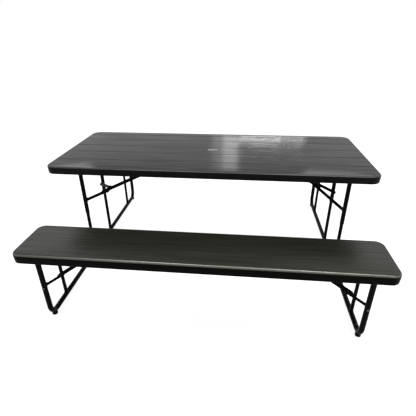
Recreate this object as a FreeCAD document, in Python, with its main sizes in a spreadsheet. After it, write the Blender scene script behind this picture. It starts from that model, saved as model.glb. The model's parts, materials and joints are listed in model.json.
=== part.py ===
"""Folding picnic table with two benches on shared end frames, in millimetres, +Z up, origin on the floor."""
import FreeCAD
import Part
import math
import os

import Sketcher

Vector = FreeCAD.Vector
Rotation = FreeCAD.Rotation
Placement = FreeCAD.Placement

SIZES = {
    # table top
    "top_length": 1860.0,
    "top_width": 760.0,
    "top_height": 745.0,
    "top_thick": 44.0,
    "top_corner": 60.0,
    # bench tops
    "bench_width": 300.0,
    "bench_height": 460.0,
    "bench_thick": 53.0,
    "bench_corner": 48.0,
    "bench_centre": 683.0,
    # moulded shell, shared by the three tops
    "deck": 24.0,
    "rim": 22.0,
    "edge_round": 9.0,
    "bench_edge_round": 14.0,
    "lip_round": 3.0,
    "lip_draft": 3.0,
    # end frames
    "frame_inset": 97.0,
    "leg_spread": 156.0,
    "bench_leg_spread": 86.0,
    "bar_height": 18.5,
    "bend_radius": 55.0,
    "step_height": 332.0,
    "seat_gap": 0.8,
    # tubes
    "main_tube": 28.0,
    "sleeve_tube": 26.0,
    "stub_tube": 22.0,
    "thin_tube": 20.0,
    "hinge_tube": 22.0,
    "tube_wall": 1.5,
    "weld_gap": 0.05,
    "cap_head": 4.2,
    "cap_round": 4.0,
    "cap_skirt": 18.0,
    # hinge bars and their clips
    "hinge_below": 20.0,
    "tube_over": 13.0,
    "hinge_overhang": 46.0,
    "bench_hinge_overhang": 18.0,
    "clip_width": 24.0,
    "clip_wall": 4.0,
    "clip_flange": 14.0,
    "clip_spacing": 84.0,
    "fit_clear": 0.05,
    # folding braces
    "brace_height": 421.0,
    "brace_span": 585.0,
    "bench_brace_height": 211.0,
    "bench_brace_span": 293.0,
    "table_fold": 84.0,
    "bench_fold": 80.0,
    "wishbone_rod": 20.0,
    "bench_rod": 15.0,
    "eye_margin": 1.5,
    "eye_over": 0.5,
    "pin": 8.0,
    "pin_head": 14.0,
    "pin_head_thick": 2.5,
    "lap_gap": 0.4,
    "channel_width": 20.0,
    "channel_depth": 18.0,
    "channel_tail": 60.0,
    "link_width": 16.0,
    "link_depth": 17.0,
    "link_wall": 2.0,
    "link_tail": 50.0,
    "bracket_wall": 3.0,
    "bracket_length": 20.0,
    # feet and umbrella hole
    "pad": 30.0,
    "pad_inset": 26.0,
    "pad_height": 18.0,
    "umbrella_hole": 44.0,
    "cap_flange": 62.0,
    "cap_flange_thick": 2.5,
    "cap_dish": 34.0,
    "cap_dish_depth": 1.5,
    "cap_depth": 16.0,
    "cap_clear": 0.4,
}

doc = FreeCAD.newDocument("picnic_table")
sheet = doc.addObject("Spreadsheet::Sheet", "sizes")
for row, (alias, number) in enumerate(SIZES.items(), start=1):
    sheet.set(f"A{row}", alias)
    sheet.set(f"B{row}", str(number))
    sheet.setAlias(f"B{row}", alias)
doc.recompute()


def size(alias):
    """The value of one driving dimension."""
    return float(sheet.get(alias))


def bind(item, **expressions):
    """Ties properties of an object to sums of driving dimensions."""
    for prop, expression in expressions.items():
        words = expression.replace("(", " ( ").replace(")", " ) ").split()
        item.setExpression(prop, " ".join(f"sizes.{w}" if w in SIZES else w for w in words))


# places that several pieces share
SIDES = {"left": -1, "right": 1}
ROWS = {"front": -1, "rear": 1}
table_hinge_z = size("top_height") - size("deck") - size("hinge_below")
bench_hinge_z = size("bench_height") - size("deck") - size("hinge_below")
inner_leg_y = size("bench_centre") - size("bench_leg_spread")
outer_leg_y = size("bench_centre") + size("bench_leg_spread")
frame_reach = size("top_length") / 2 - size("frame_inset")
wishbone_eye = size("wishbone_rod") + 2 * size("eye_over")
bench_eye = size("bench_rod") + 2 * size("eye_over")
rivet_room = 2 * size("lap_gap") + size("pin_head_thick")
knee_eye_y = size("channel_width") / 2 + rivet_room + wishbone_eye / 2
Y_AXIS = Vector(0, 1, 0)
Z_AXIS = Vector(0, 0, 1)
X_AXIS = Vector(1, 0, 0)
OVERSIZE = 40.0


def cylinder(name, base, axis, **expressions):
    """A round bar from base along axis, its Radius and Height tied to the sheet."""
    item = doc.addObject("Part::Cylinder", name)
    bind(item, **expressions)
    item.Placement = Placement(base, Rotation(Z_AXIS, axis))
    return item


def block(name, base, **expressions):
    """A square block from its lowest corner, its sides tied to the sheet."""
    item = doc.addObject("Part::Box", name)
    bind(item, **expressions)
    item.Placement = Placement(base, Rotation())
    return item


def fuse(name, *members):
    """One solid from several."""
    item = doc.addObject("Part::MultiFuse", name)
    item.Shapes = list(members)
    item.Refine = True
    return item


def cut(name, base, *tools):
    """The base less one tool or several."""
    item = doc.addObject("Part::Cut", name)
    item.Base = base
    item.Tool = tools[0] if len(tools) == 1 else fuse(name + "_tools", *tools)
    return item


def group(name, *members):
    """Separate solids that share a node."""
    item = doc.addObject("Part::Compound", name)
    item.Links = list(members)
    return item


def tube(name, base, axis, diameter, length, *notches):
    """A round tube, notched where other tubes pass."""
    outer = cylinder(name + "_outer", base, axis, Radius=f"{diameter} / 2", Height=length)
    bore = cylinder(name + "_bore", base, axis, Radius=f"{diameter} / 2 - tube_wall", Height=length)
    return cut(name, outer, bore, *notches)


def notch(name, base, axis, diameter, length):
    """The space that a crossing tube takes, with the weld gap round it."""
    return cylinder(name, base, axis, Radius=f"{diameter} / 2 + weld_gap", Height=length)


def plane(body, role):
    """One of a body's own origin planes."""
    return next(f for f in body.Origin.OriginFeatures if f.Role == role)


def sketch_on(body, role, name, offset=None):
    """A sketch on one of the body's origin planes, moved by offset in the plane's own axes."""
    sketch = body.newObject("Sketcher::SketchObject", name)
    sketch.AttachmentSupport = [(plane(body, role), "")]
    sketch.MapMode = "FlatFace"
    if offset is not None:
        sketch.AttachmentOffset = Placement(offset, Rotation())
    return sketch


def rectangle(sketch, length, width):
    """A rectangle centred on the sketch's origin, its sides tied to the sheet."""
    corners = [Vector(-50, -20, 0), Vector(50, -20, 0), Vector(50, 20, 0), Vector(-50, 20, 0)]
    for start, end in zip(corners, corners[1:] + corners[:1]):
        sketch.addGeometry(Part.LineSegment(start, end), False)
    for line in range(4):
        sketch.addConstraint(Sketcher.Constraint("Coincident", line, 2, (line + 1) % 4, 1))
        kind = "Horizontal" if line % 2 == 0 else "Vertical"
        sketch.addConstraint(Sketcher.Constraint(kind, line))
    sketch.addConstraint(Sketcher.Constraint("Symmetric", 0, 1, 1, 2, -1, 1))
    across = sketch.addConstraint(Sketcher.Constraint("DistanceX", 0, 1, 0, 2, 100.0))
    along = sketch.addConstraint(Sketcher.Constraint("DistanceY", 1, 1, 1, 2, 40.0))
    bind(sketch, **{f"Constraints[{across}]": length, f"Constraints[{along}]": width})


def circle(sketch, x, radius):
    """A circle on the sketch's horizontal axis, its place and radius tied to the sheet."""
    index = sketch.addGeometry(Part.Circle(Vector(x, 0, 0), Vector(0, 0, 1), 10.0), False)
    sketch.addConstraint(Sketcher.Constraint("PointOnObject", index, 3, -1))
    if x:
        sketch.addConstraint(Sketcher.Constraint("DistanceX", -1, 1, index, 3, x))
    else:
        sketch.addConstraint(Sketcher.Constraint("PointOnObject", index, 3, -2))
    across = sketch.addConstraint(Sketcher.Constraint("Radius", index, 10.0))
    bind(sketch, **{f"Constraints[{across}]": radius})


def edges(shape, test):
    """Names of the edges of a shape that pass a test."""
    return [f"Edge{i}" for i, edge in enumerate(shape.Edges, start=1) if test(edge)]


def upright_edge(edge):
    """True for an edge that runs mostly up and down."""
    box = edge.BoundBox
    return box.ZLength > 2.0 * max(box.XLength, box.YLength) and box.ZLength > 1.0


def at_level(level):
    """A test for edges that lie flat at a level."""
    return lambda edge: edge.BoundBox.ZLength < 0.01 and abs(edge.BoundBox.ZMin - level) < 0.01


def fillet(body, name, base, edge_names, radius):
    """Rounds edges of the body's last feature."""
    item = body.newObject("PartDesign::Fillet", name)
    item.Base = (base, edge_names)
    bind(item, Radius=radius)
    body.Tip = item
    doc.recompute()
    return item


def plank(label, length, width, thick, corner, edge, place, hole=None):
    """A moulded top: flat deck, rounded corners, a drawn-in lip all round and a hollow underside."""
    body = doc.addObject("PartDesign::Body", label)
    outline = sketch_on(body, "XY_Plane", label + "_outline")
    rectangle(outline, length, width)
    pad = body.newObject("PartDesign::Pad", label + "_pad")
    pad.Profile = outline
    pad.Reversed = True
    bind(pad, Length=thick, TaperAngle="0 - lip_draft")
    doc.recompute()
    last = fillet(body, label + "_corners", pad, edges(pad.Shape, upright_edge), corner)
    recess = sketch_on(body, "XY_Plane", label + "_recess", Vector(0, 0, -size(thick)))
    rectangle(recess, f"{length} - 2 * rim", f"{width} - 2 * rim")
    pocket = body.newObject("PartDesign::Pocket", label + "_pocket")
    pocket.Profile = recess
    pocket.Reversed = True
    bind(pocket, Length=f"{thick} - deck")
    body.Tip = pocket
    doc.recompute()
    solid_before = last.Shape.Volume
    if pocket.Shape.Volume > 0.9 * solid_before:
        raise RuntimeError(label + ": the underside wasn't hollowed")
    inside = size(length) / 2 - size("rim") + 1.0

    def recess_corner(edge):
        """True for the four upright edges of the recess."""
        return upright_edge(edge) and abs(edge.BoundBox.Center.x) < inside and edge.BoundBox.ZMax < -1.0 \
            and edge.BoundBox.XLength < 0.01 and edge.BoundBox.YLength < 0.01

    names = edges(pocket.Shape, recess_corner)
    last = fillet(body, label + "_recess_corners", pocket, names, f"{corner} - rim")
    last = fillet(body, label + "_top_round", last, edges(last.Shape, at_level(0.0)), edge)
    low = -size(thick)
    last = fillet(body, label + "_lip_round", last, edges(last.Shape, at_level(low)), "lip_round")
    if hole:
        bore = sketch_on(body, "XY_Plane", label + "_bore")
        circle(bore, 0.0, hole + " / 2")
        through = body.newObject("PartDesign::Pocket", label + "_hole")
        through.Profile = bore
        through.Type = "ThroughAll"
        through.Midplane = True
        body.Tip = through
    body.Placement = Placement(place, Rotation())
    return body


def umbrella_cap(label):
    """A dished cap over the umbrella hole, with a skirt that drops into it."""
    body = doc.addObject("PartDesign::Body", label)
    half = sketch_on(body, "XZ_Plane", label + "_half")
    flange = size("cap_flange") / 2
    skirt = size("umbrella_hole") / 2 - size("cap_clear")
    rise = size("cap_flange_thick")
    dish = size("cap_dish") / 2
    floor = rise - size("cap_dish_depth")
    low = -size("cap_depth")
    rim = dish + rise * 2
    points = [(0, low), (skirt, low), (skirt, 0), (flange, 0), (rim, rise), (dish, floor), (0, floor)]
    corners = [Vector(x, z, 0) for x, z in points]
    for start, end in zip(corners, corners[1:] + corners[:1]):
        half.addGeometry(Part.LineSegment(start, end), False)
    turn = body.newObject("PartDesign::Revolution", label + "_turn")
    turn.Profile = half
    turn.ReferenceAxis = (half, ["V_Axis"])
    turn.Angle = 360.0
    body.Tip = turn
    body.Placement = Placement(Vector(0, 0, size("top_height")), Rotation())
    return body


def pin_hole(name, pivot, y):
    """The space that a pivot pin takes through an upright."""
    return cylinder(name, Vector(pivot.x, y - OVERSIZE, pivot.z), Y_AXIS, Radius="pin / 2 + weld_gap",
                    Height="4 * thin_tube")


def frame_tube(label, side):
    """The bent tube of an end frame: outer leg of one bench, floor bar, outer leg of the other bench."""
    body = doc.addObject("PartDesign::Body", label + "_bent")
    top = bench_hinge_z + size("tube_over")
    low = size("bar_height")
    bend = size("bend_radius")
    path = sketch_on(body, "YZ_Plane", label + "_path")
    reach = outer_leg_y
    slack = bend * (1 - math.sqrt(0.5))
    path.addGeometry(Part.LineSegment(Vector(-reach, top, 0), Vector(-reach, low + bend, 0)), False)
    path.addGeometry(Part.Arc(Vector(-reach, low + bend, 0), Vector(slack - reach, low + slack, 0),
                              Vector(bend - reach, low, 0)), False)
    path.addGeometry(Part.LineSegment(Vector(bend - reach, low, 0), Vector(reach - bend, low, 0)), False)
    path.addGeometry(Part.Arc(Vector(reach - bend, low, 0), Vector(reach - slack, low + slack, 0),
                              Vector(reach, low + bend, 0)), False)
    path.addGeometry(Part.LineSegment(Vector(reach, low + bend, 0), Vector(reach, top, 0)), False)
    section = sketch_on(body, "XY_Plane", label + "_section", Vector(0, -reach, top))
    circle(section, 0.0, "main_tube / 2")
    circle(section, 0.0, "main_tube / 2 - tube_wall")
    pipe = body.newObject("PartDesign::AdditivePipe", label + "_pipe")
    pipe.Profile = section
    pipe.Spine = path
    body.Tip = pipe
    body.Placement = Placement(Vector(side * frame_reach, 0, 0), Rotation())
    holes = []
    for row, sign in ROWS.items():
        start = Vector(side * frame_reach, sign * outer_leg_y - OVERSIZE, bench_hinge_z)
        holes.append(notch(f"{label}_{row}_hole", start, Y_AXIS, "hinge_tube", "main_tube + 3 * clip_width"))
        pivot = Vector(side * frame_reach, 0, size("bench_brace_height"))
        holes.append(pin_hole(f"{label}_{row}_pin_hole", pivot, sign * outer_leg_y))
    return cut(label, body, *holes)


def bar_notch(name, side):
    """The floor bar's space, cut from what is welded on top of it."""
    start = Vector(side * frame_reach, -size("bench_centre"), size("bar_height"))
    return notch(name, start, Y_AXIS, "main_tube", "2 * bench_centre")


def thin_leg(label, side, y, diameter, length, *more):
    """A thinner tube that stands on the floor bar."""
    base = Vector(side * frame_reach, y, size("bar_height"))
    return tube(label, base, Z_AXIS, diameter, length, bar_notch(label + "_bar", side), *more)


def foot_pad(name, side, sign):
    """A moulded pad under a bend of the end frame, hollowed to the tube that sits in it."""
    leg_x = side * frame_reach
    base = Vector(leg_x, sign * (outer_leg_y - size("pad_inset")), 0)
    blank = cylinder(name + "_blank", base, Z_AXIS, Radius="pad / 2", Height="pad_height")
    bend = doc.addObject("Part::Torus", name + "_bend")
    bind(bend, Radius1="bend_radius", Radius2="main_tube / 2 + weld_gap")
    centre = Vector(leg_x, sign * (outer_leg_y - size("bend_radius")), size("bar_height") + size("bend_radius"))
    bend.Placement = Placement(centre, Rotation(Z_AXIS, X_AXIS))
    return cut(name, blank, bend)


def round_cap(name, base, axis, diameter):
    """A moulded cap that closes a tube's end: a rounded head and a skirt inside the tube."""
    head = cylinder(name + "_head", base, axis, Radius=f"{diameter} / 2", Height="cap_head")
    doc.recompute()
    tip = base + axis * size("cap_head")
    rounded = doc.addObject("Part::Fillet", name + "_rounded")
    rounded.Base = head
    bend = size("cap_round")
    rounded.Edges = [(i, bend, bend) for i, edge in enumerate(head.Shape.Edges, start=1)
                     if (edge.BoundBox.Center - tip).Length < 0.1]
    skirt = cylinder(name + "_skirt", base - axis * size("cap_skirt"), axis,
                     Radius=f"{diameter} / 2 - tube_wall - weld_gap", Height="cap_skirt + cap_head / 4")
    return fuse(name, rounded, skirt)


def clip(name, x, y, hinge_z, deck_z):
    """A saddle under the deck that a hinge bar turns in."""
    ring = "hinge_tube / 2 + fit_clear + clip_wall"
    radius = size("hinge_tube") / 2 + size("fit_clear") + size("clip_wall")
    start = Vector(x, y - size("clip_width") / 2, hinge_z)
    barrel = cylinder(name + "_barrel", start, Y_AXIS, Radius=ring, Height="clip_width")
    cheek = block(name + "_cheek", start - X_AXIS * radius, Length=f"2 * ( {ring} )", Width="clip_width",
                  Height="hinge_below")
    wide = radius + size("clip_flange")
    flange_base = Vector(x - wide, start.y, deck_z - size("clip_wall"))
    flange = block(name + "_flange", flange_base, Length=f"2 * ( {ring} + clip_flange )", Width="clip_width",
                   Height="clip_wall")
    bore = cylinder(name + "_bore", start - Y_AXIS, Y_AXIS, Radius="hinge_tube / 2 + fit_clear",
                    Height="clip_width + 2")
    return cut(name, fuse(name + "_solid", barrel, cheek, flange), bore)


def brace_points(side, hinge_z, height, span, fold):
    """A folding brace's pivots and its upper length: straight when open, doubled back when folded."""
    hinge = Vector(side * frame_reach, 0, hinge_z)
    leg_pivot = Vector(side * frame_reach, 0, height)
    top_pivot = Vector(side * (frame_reach - span), 0, hinge_z)
    turn = Rotation(Y_AXIS, side * fold)
    folded = hinge + turn.multVec(leg_pivot - hinge)
    open_length = (leg_pivot - top_pivot).Length
    folded_length = (folded - top_pivot).Length
    lower = (open_length - folded_length) / 2
    upper = (open_length + folded_length) / 2
    knee = leg_pivot + (top_pivot - leg_pivot) * (lower / open_length)
    return leg_pivot, knee, top_pivot, upper


def pin(name, start, length, heads=(True, True)):
    """A pivot pin along Y, with a flat head at either end."""
    shank = cylinder(name + "_shank", start, Y_AXIS, Radius="pin / 2", Height=length)
    doc.recompute()
    members = [shank]
    if heads[0]:
        members.append(cylinder(name + "_head_a", start - Y_AXIS * size("pin_head_thick"), Y_AXIS,
                                Radius="pin_head / 2", Height="pin_head_thick"))
    if heads[1]:
        members.append(cylinder(name + "_head_b", start + Y_AXIS * float(shank.Height), Y_AXIS,
                                Radius="pin_head / 2", Height="pin_head_thick"))
    return fuse(name, *members)


def leg_pin(name, pivot, y, diameter, rod_size, heads):
    """A pivot pin through an upright that carries a rod on the upright's inner side."""
    inward = -1 if y > 0 else 1
    length = f"{diameter} + 2 * weld_gap + 2 * lap_gap + {rod_size} + 2 * eye_over"
    reach = size(diameter) + 2 * size("weld_gap") + 2 * size("lap_gap") + size(rod_size) + 2 * size("eye_over")
    outer = y - inward * (size(diameter) / 2 + size("weld_gap"))
    start = outer if inward > 0 else outer - reach
    return pin(name, Vector(pivot.x, start, pivot.z), length, heads)


def rod(label, pivot, pivot_y, knee, knee_y, diameter):
    """A lower brace link: a round rod with an eye at either end, both eyes turning about Y."""
    ends = {"leg": Vector(pivot.x, pivot_y, pivot.z), "knee": Vector(knee.x, knee_y, knee.z)}
    along = ends["knee"] - ends["leg"]
    bar = doc.addObject("Part::Cylinder", label + "_bar")
    bind(bar, Radius=f"{diameter} / 2")
    bar.Height = along.Length
    bar.Placement = Placement(ends["leg"], Rotation(Z_AXIS, along))
    half = Y_AXIS * (size(diameter) / 2 + size("eye_over"))
    eyes = [cylinder(f"{label}_eye_{k}", point - half, Y_AXIS, Radius=f"{diameter} / 2 + eye_margin",
                     Height=f"{diameter} + 2 * eye_over") for k, point in ends.items()]
    holes = [cylinder(f"{label}_hole_{k}", point - half * 2, Y_AXIS, Radius="pin / 2 + fit_clear",
                      Height=f"2 * {diameter} + 4 * eye_over") for k, point in ends.items()]
    return cut(label, fuse(label + "_solid", bar, *eyes), *holes)


def channel(label, length, tail, width, depth, top_pivot, knee, y):
    """An upper brace link: a folded channel, open upwards, from its bracket pivot to past the knee."""
    body = doc.addObject("PartDesign::Body", label)
    side = sketch_on(body, "XZ_Plane", label + "_side")
    back = size(depth) / 2
    front = length + size(tail) - back
    side.addGeometry(Part.LineSegment(Vector(0, back, 0), Vector(front, back, 0)), False)
    nose = Vector(front + back, 0, 0)
    side.addGeometry(Part.Arc(Vector(front, back, 0), nose, Vector(front, -back, 0)), False)
    side.addGeometry(Part.LineSegment(Vector(front, -back, 0), Vector(0, -back, 0)), False)
    side.addGeometry(Part.Arc(Vector(0, -back, 0), Vector(-back, 0, 0), Vector(0, back, 0)), False)
    pad = body.newObject("PartDesign::Pad", label + "_pad")
    pad.Profile = side
    pad.Midplane = True
    bind(pad, Length=width)
    doc.recompute()
    mouth = sketch_on(body, "XY_Plane", label + "_mouth", Vector(length / 2, 0, size("link_wall") - back))
    wide = size(width) / 2 - size("link_wall")
    long = length + size(tail) + size(depth)
    corners = [Vector(-long, -wide, 0), Vector(long, -wide, 0), Vector(long, wide, 0), Vector(-long, wide, 0)]
    for start, end in zip(corners, corners[1:] + corners[:1]):
        mouth.addGeometry(Part.LineSegment(start, end), False)
    trough = body.newObject("PartDesign::Pocket", label + "_trough")
    trough.Profile = mouth
    trough.Reversed = True
    bind(trough, Length=depth)
    body.Tip = trough
    doc.recompute()
    if trough.Shape.Volume > 0.8 * pad.Shape.Volume:
        raise RuntimeError(label + ": the channel wasn't opened")
    eyes = sketch_on(body, "XZ_Plane", label + "_eyes")
    circle(eyes, 0.0, "pin / 2 + fit_clear")
    circle(eyes, length, "pin / 2 + fit_clear")
    drill = body.newObject("PartDesign::Pocket", label + "_holes")
    drill.Profile = eyes
    drill.Type = "ThroughAll"
    drill.Midplane = True
    body.Tip = drill
    along = (knee - top_pivot).normalize()
    angle = math.degrees(math.atan2(along.z, abs(along.x)))
    turn = Rotation(Y_AXIS, -angle)
    if along.x < 0:
        turn = Rotation(Z_AXIS, 180.0).multiply(Rotation(Y_AXIS, -angle))
    body.Placement = Placement(Vector(top_pivot.x, y, top_pivot.z), turn)
    return body


def brace_bracket(name, top_pivot, y, width, deck_z):
    """Two ears under the deck that hold the upper end of a brace, on a plate."""
    gap = size(width) / 2 + size("lap_gap")
    half = size("bracket_length") / 2
    ears = []
    for sign in (-1, 1):
        inner = y + sign * gap
        low_y = inner if sign > 0 else inner - size("bracket_wall")
        ear = block(f"{name}_ear{sign}", Vector(top_pivot.x - half, low_y, top_pivot.z),
                    Length="bracket_length", Width="bracket_wall", Height="hinge_below")
        nose = cylinder(f"{name}_nose{sign}", Vector(top_pivot.x, low_y, top_pivot.z), Y_AXIS,
                        Radius="bracket_length / 2", Height="bracket_wall")
        ears += [ear, nose]
    span = gap + size("bracket_wall")
    corner = Vector(top_pivot.x - half, y - span - size("clip_flange"), deck_z - size("bracket_wall"))
    plate = block(name + "_plate", corner, Length="bracket_length",
                  Width=f"{width} + 2 * lap_gap + 2 * bracket_wall + 2 * clip_flange", Height="bracket_wall")
    hole = cylinder(name + "_hole", Vector(top_pivot.x, y - 2 * span, top_pivot.z), Y_AXIS,
                    Radius="pin / 2 + weld_gap", Height=f"4 * ( {width} )")
    solid = cut(name, fuse(name + "_solid", plate, *ears), hole)
    bolt = pin(name + "_pin", Vector(top_pivot.x, y - span, top_pivot.z),
               f"{width} + 2 * lap_gap + 2 * bracket_wall")
    return solid, bolt


parts = {}


def node(label, item):
    """Registers a finished sub-part under its node name."""
    item.Label = label
    parts[label] = item


# the three tops and the umbrella cap
node("table_top", plank("table_top", "top_length", "top_width", "top_thick", "top_corner",
                        "edge_round", Vector(0, 0, size("top_height")), "umbrella_hole"))
for row, sign in ROWS.items():
    middle = Vector(0, sign * size("bench_centre"), size("bench_height"))
    node(f"bench_top_{row}", plank(f"bench_top_{row}", "top_length", "bench_width", "bench_thick",
                                   "bench_corner", "bench_edge_round", middle))
node("umbrella_cap", umbrella_cap("umbrella_cap"))

for end, side in SIDES.items():
    leg_x = side * frame_reach

    # folding upper legs of the table
    hinge_reach = size("leg_spread") + size("hinge_overhang")
    bar_start = Vector(leg_x, -hinge_reach, table_hinge_z)
    node(f"table_hinge_bar_{end}", tube(f"table_hinge_bar_{end}", bar_start, Y_AXIS, "hinge_tube",
                                        "2 * ( leg_spread + hinge_overhang )"))
    pivot, knee, top_pivot, upper = brace_points(side, table_hinge_z, size("brace_height"), size("brace_span"),
                                                 size("table_fold"))
    rod_reach = size("leg_spread") - size("sleeve_tube") / 2 - size("lap_gap") - wishbone_eye / 2
    channel_y = side * (rod_reach - knee_eye_y)
    brackets = []
    plugs = []
    pins = []
    for row, sign in ROWS.items():
        y = sign * size("leg_spread")
        label = f"table_upright_{end}_{row}"
        sleeve_low = size("step_height") + size("seat_gap") + size("cap_head")
        sleeve = "top_height - deck - hinge_below + tube_over - step_height - seat_gap - cap_head"
        bar_hole = notch(label + "_hole", Vector(leg_x, y - OVERSIZE, table_hinge_z), Y_AXIS, "hinge_tube",
                         "sleeve_tube + 3 * clip_width")
        node(label, tube(label, Vector(leg_x, y, sleeve_low), Z_AXIS, "sleeve_tube", sleeve, bar_hole,
                         pin_hole(label + "_pin_hole", pivot, y)))
        plugs.append(round_cap(f"table_end_plug_{end}_{row}", Vector(leg_x, y, sleeve_low), -Z_AXIS,
                               "sleeve_tube"))
        pins.append(leg_pin(f"wishbone_pin_{end}_{row}", pivot, y, "sleeve_tube", "wishbone_rod",
                            (sign < 0, sign > 0)))
        node(f"wishbone_rod_{end}_{row}", rod(f"wishbone_rod_{end}_{row}", pivot, sign * rod_reach, knee,
                                              channel_y + sign * knee_eye_y, "wishbone_rod"))
        clip_gap = size("sleeve_tube") / 2 + size("clip_width") / 2 + 4 * size("lap_gap")
        clip_y = sign * (size("leg_spread") + clip_gap)
        brackets.append(clip(f"table_clip_{end}_{row}", leg_x, clip_y, table_hinge_z,
                             size("top_height") - size("deck")))
    brackets += brace_bracket(f"channel_bracket_{end}", top_pivot, channel_y, "channel_width",
                              size("top_height") - size("deck"))
    node(f"table_brackets_{end}", group(f"table_brackets_{end}", *brackets))
    node(f"table_end_plugs_{end}", group(f"table_end_plugs_{end}", *plugs))
    node(f"wishbone_pins_{end}", group(f"wishbone_pins_{end}", *pins))
    node(f"table_channel_{end}", channel(f"table_channel_{end}", upper, "channel_tail", "channel_width",
                                         "channel_depth", top_pivot, knee, channel_y))
    rivet_start = Vector(knee.x, channel_y - size("channel_width") / 2 - size("lap_gap"), knee.z)
    node(f"channel_rivet_{end}", pin(f"channel_rivet_{end}", rivet_start, "channel_width + 2 * lap_gap"))

    # end frame on the floor, shared by the table and both benches
    node(f"frame_tube_{end}", frame_tube(f"frame_tube_{end}", side))
    stubs = []
    caps = []
    pads = []
    bench_pins = []
    pivot, knee, top_pivot, upper = brace_points(side, bench_hinge_z, size("bench_brace_height"),
                                                 size("bench_brace_span"), size("bench_fold"))
    for row, sign in ROWS.items():
        y = sign * size("leg_spread")
        stubs.append(thin_leg(f"table_stub_{end}_{row}", side, y, "stub_tube",
                              "step_height - bar_height - cap_head"))
        stub_top = Vector(leg_x, y, size("step_height") - size("cap_head"))
        caps.append(round_cap(f"stub_cap_{end}_{row}", stub_top, Z_AXIS, "stub_tube"))

        inner_y = sign * inner_leg_y
        outer_y = sign * outer_leg_y
        bar_low = min(inner_y, outer_y) - size("bench_hinge_overhang")
        bar_start = Vector(leg_x, bar_low, bench_hinge_z)
        node(f"bench_hinge_bar_{row}_{end}", tube(f"bench_hinge_bar_{row}_{end}", bar_start, Y_AXIS, "hinge_tube",
                                                  "2 * ( bench_leg_spread + bench_hinge_overhang )"))
        label = f"bench_inner_leg_{row}_{end}"
        saddle = notch(label + "_saddle", Vector(leg_x, inner_y - OVERSIZE, bench_hinge_z), Y_AXIS,
                       "hinge_tube", "4 * thin_tube")
        node(label, thin_leg(label, side, inner_y, "thin_tube",
                             "bench_height - deck - hinge_below - bar_height", saddle))

        pads.append(foot_pad(f"foot_pad_{end}_{row}", side, sign))

        bench_pins.append(leg_pin(f"bench_pin_{end}_{row}", pivot, outer_y, "main_tube", "bench_rod",
                                  (True, True)))
        rod_y = sign * (outer_leg_y - size("main_tube") / 2 - size("lap_gap") - bench_eye / 2)
        node(f"bench_rod_{row}_{end}", rod(f"bench_rod_{row}_{end}", pivot, rod_y, knee, rod_y, "bench_rod"))
        link_y = rod_y - sign * (bench_eye / 2 + rivet_room + size("link_width") / 2)
        node(f"bench_link_{row}_{end}", channel(f"bench_link_{row}_{end}", upper, "link_tail", "link_width",
                                                "link_depth", top_pivot, knee, link_y))
        rivet_start = Vector(knee.x, link_y - size("link_width") / 2 - size("lap_gap"), knee.z)
        node(f"link_rivet_{row}_{end}", pin(f"link_rivet_{row}_{end}", rivet_start, "link_width + 2 * lap_gap"))
        deck_z = size("bench_height") - size("deck")
        clips = [clip(f"bench_clip_{row}_{end}_{k}", leg_x,
                      sign * size("bench_centre") + k * size("clip_spacing") / 2, bench_hinge_z, deck_z)
                 for k in (-1, 1)]
        clips += brace_bracket(f"link_bracket_{row}_{end}", top_pivot, link_y, "link_width", deck_z)
        node(f"bench_brackets_{row}_{end}", group(f"bench_brackets_{row}_{end}", *clips))
    node(f"table_stubs_{end}", group(f"table_stubs_{end}", *stubs))
    node(f"stub_caps_{end}", group(f"stub_caps_{end}", *caps))
    node(f"foot_pads_{end}", group(f"foot_pads_{end}", *pads))
    node(f"bench_pins_{end}", group(f"bench_pins_{end}", *bench_pins))

doc.recompute()

for item in doc.Objects:
    if "Invalid" in item.State or "Error" in item.State:
        raise RuntimeError(f"{item.Label} failed: {item.State}")
os.makedirs("parts", exist_ok=True)
for label, item in parts.items():
    shape = item.Shape
    if shape.isNull() or not shape.isValid():
        raise RuntimeError(f"{label} has no valid shape")
for label, item in parts.items():
    item.Shape.exportStep(f"parts/{label}.step")
print(len(parts), "sub-parts written")
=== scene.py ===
"""Looks of a folding picnic table with two benches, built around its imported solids, in metres."""

import json
import logging
import math
from dataclasses import dataclass, field, replace
from enum import Enum
from typing import Iterable, Optional, Sequence

import bmesh
import bpy
from mathutils import Matrix, Vector

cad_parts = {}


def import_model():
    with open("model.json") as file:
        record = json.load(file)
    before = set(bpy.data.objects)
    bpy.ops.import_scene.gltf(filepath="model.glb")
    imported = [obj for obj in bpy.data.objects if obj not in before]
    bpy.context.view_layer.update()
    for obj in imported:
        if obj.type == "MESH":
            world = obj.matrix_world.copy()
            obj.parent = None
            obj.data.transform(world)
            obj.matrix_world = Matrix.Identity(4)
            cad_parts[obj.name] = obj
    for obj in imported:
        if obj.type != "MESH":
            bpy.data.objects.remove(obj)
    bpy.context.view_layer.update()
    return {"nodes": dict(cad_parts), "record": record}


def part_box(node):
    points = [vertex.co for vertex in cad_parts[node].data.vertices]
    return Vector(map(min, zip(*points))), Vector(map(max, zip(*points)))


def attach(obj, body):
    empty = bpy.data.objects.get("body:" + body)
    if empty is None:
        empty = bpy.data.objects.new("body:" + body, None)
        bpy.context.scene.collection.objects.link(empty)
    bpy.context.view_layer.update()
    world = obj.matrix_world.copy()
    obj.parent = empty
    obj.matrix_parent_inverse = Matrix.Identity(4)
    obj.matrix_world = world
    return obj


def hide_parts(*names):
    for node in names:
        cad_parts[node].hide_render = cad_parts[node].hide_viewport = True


LOG = logging.getLogger("picnic_table")
Point = tuple[float, float, float]
Colour = tuple[float, float, float]
Pair = tuple[float, float]
FixingZone = tuple[float, float, float, float]

WHITE = (1.0, 1.0, 1.0)
TOUCH = 1e-6  # levels this close count as one
MIX_FIRST, MIX_SECOND, MIX_RESULT = 6, 7, 2  # the colour sockets of a mix node


class End(Enum):
    """The two ends of the table."""

    LEFT = "left"
    RIGHT = "right"


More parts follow.
